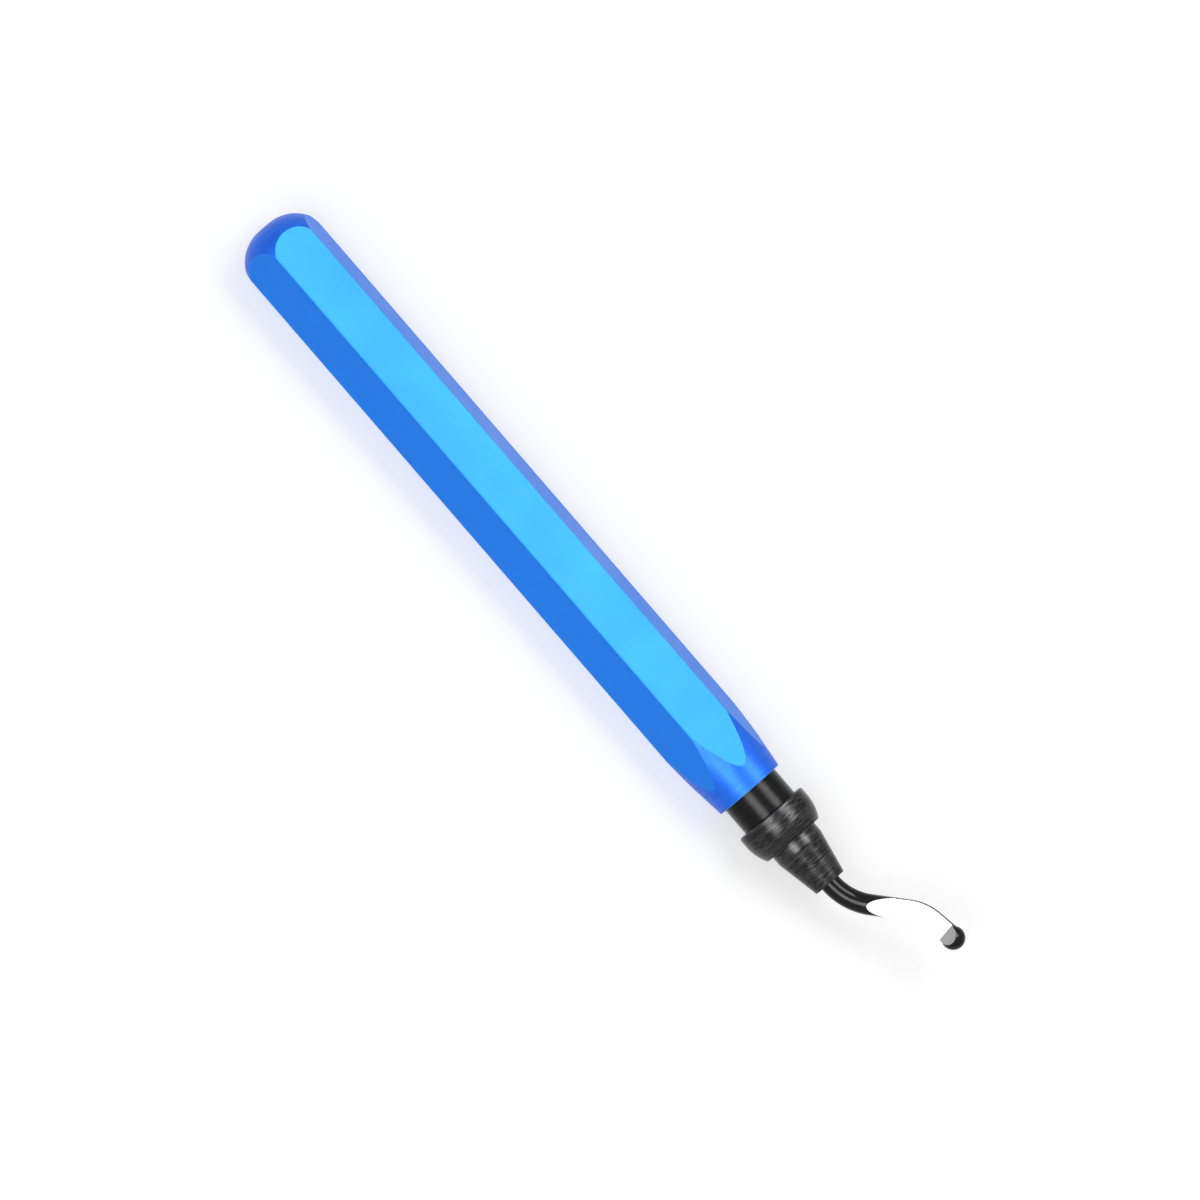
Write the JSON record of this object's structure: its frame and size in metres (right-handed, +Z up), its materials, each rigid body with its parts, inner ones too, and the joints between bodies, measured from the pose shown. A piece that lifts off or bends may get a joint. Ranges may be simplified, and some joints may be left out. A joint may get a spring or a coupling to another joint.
{
  "type": "deburring tool",
  "caption": "Hand deburring tool: hexagonal blue handle with a sliding release collar and a swivelling hooked blade with a ball end.",
  "frame": {"origin": "centre of the flat that the handle rests on, at half the handle's length", "axes": "+X along the handle towards the blade, +Z up from the resting flat to the opposite flat, +Y to the left of the blade's direction"},
  "size_m": [0.1475, 0.0161, 0.0124],
  "materials": {
    "blue_anodised": "satin blue anodised",
    "black_steel": "black oxide, turned",
    "blade_steel": "glossy black oxide with a ground facet",
    "bright_steel": "bright"
  },
  "bodies": {
    "tool_body": {"handle": "blue_anodised", "blade_holder": "bright_steel", "retaining_ring": "bright_steel", "return_spring": "bright_steel"},
    "release_collar": {"neck_sleeve": "black_steel", "nose_collar": "black_steel"},
    "cutting_blade": {"blade": "blade_steel"},
    "lock_ball_1": {"lock_ball_1": "bright_steel"},
    "lock_ball_2": {"lock_ball_2": "bright_steel"},
    "lock_ball_3": {"lock_ball_3": "bright_steel"}
  },
  "joints": [
    {"name": "blade_spin", "type": "hinge", "parent": "tool_body", "child": "cutting_blade", "pos_m": [0.0548, 0, 0.006], "axis": [1, 0, 0], "continuous": true},
    {"name": "sleeve_slide", "type": "slide", "parent": "tool_body", "child": "release_collar", "axis": [-1, 0, 0], "range_m": [0, 0.004], "stiffness_N_per_m": 1100, "springref_m": -0.004, "deforming": ["return_spring"]},
    {"name": "ball_1_lift", "type": "slide", "parent": "tool_body", "child": "lock_ball_1", "axis": [0, 0, 1], "range_m": [0, 0.0005]},
    {"name": "ball_2_lift", "type": "slide", "parent": "tool_body", "child": "lock_ball_2", "axis": [0, -0.866, -0.5], "range_m": [0, 0.0005]},
    {"name": "ball_3_lift", "type": "slide", "parent": "tool_body", "child": "lock_ball_3", "axis": [0, 0.866, -0.5], "range_m": [0, 0.0005]}
  ],
  "couplings": [
    {"joint": "ball_1_lift", "follows": "sleeve_slide", "ratio": 0.125},
    {"joint": "ball_2_lift", "follows": "sleeve_slide", "ratio": 0.125},
    {"joint": "ball_3_lift", "follows": "sleeve_slide", "ratio": 0.125}
  ]
}
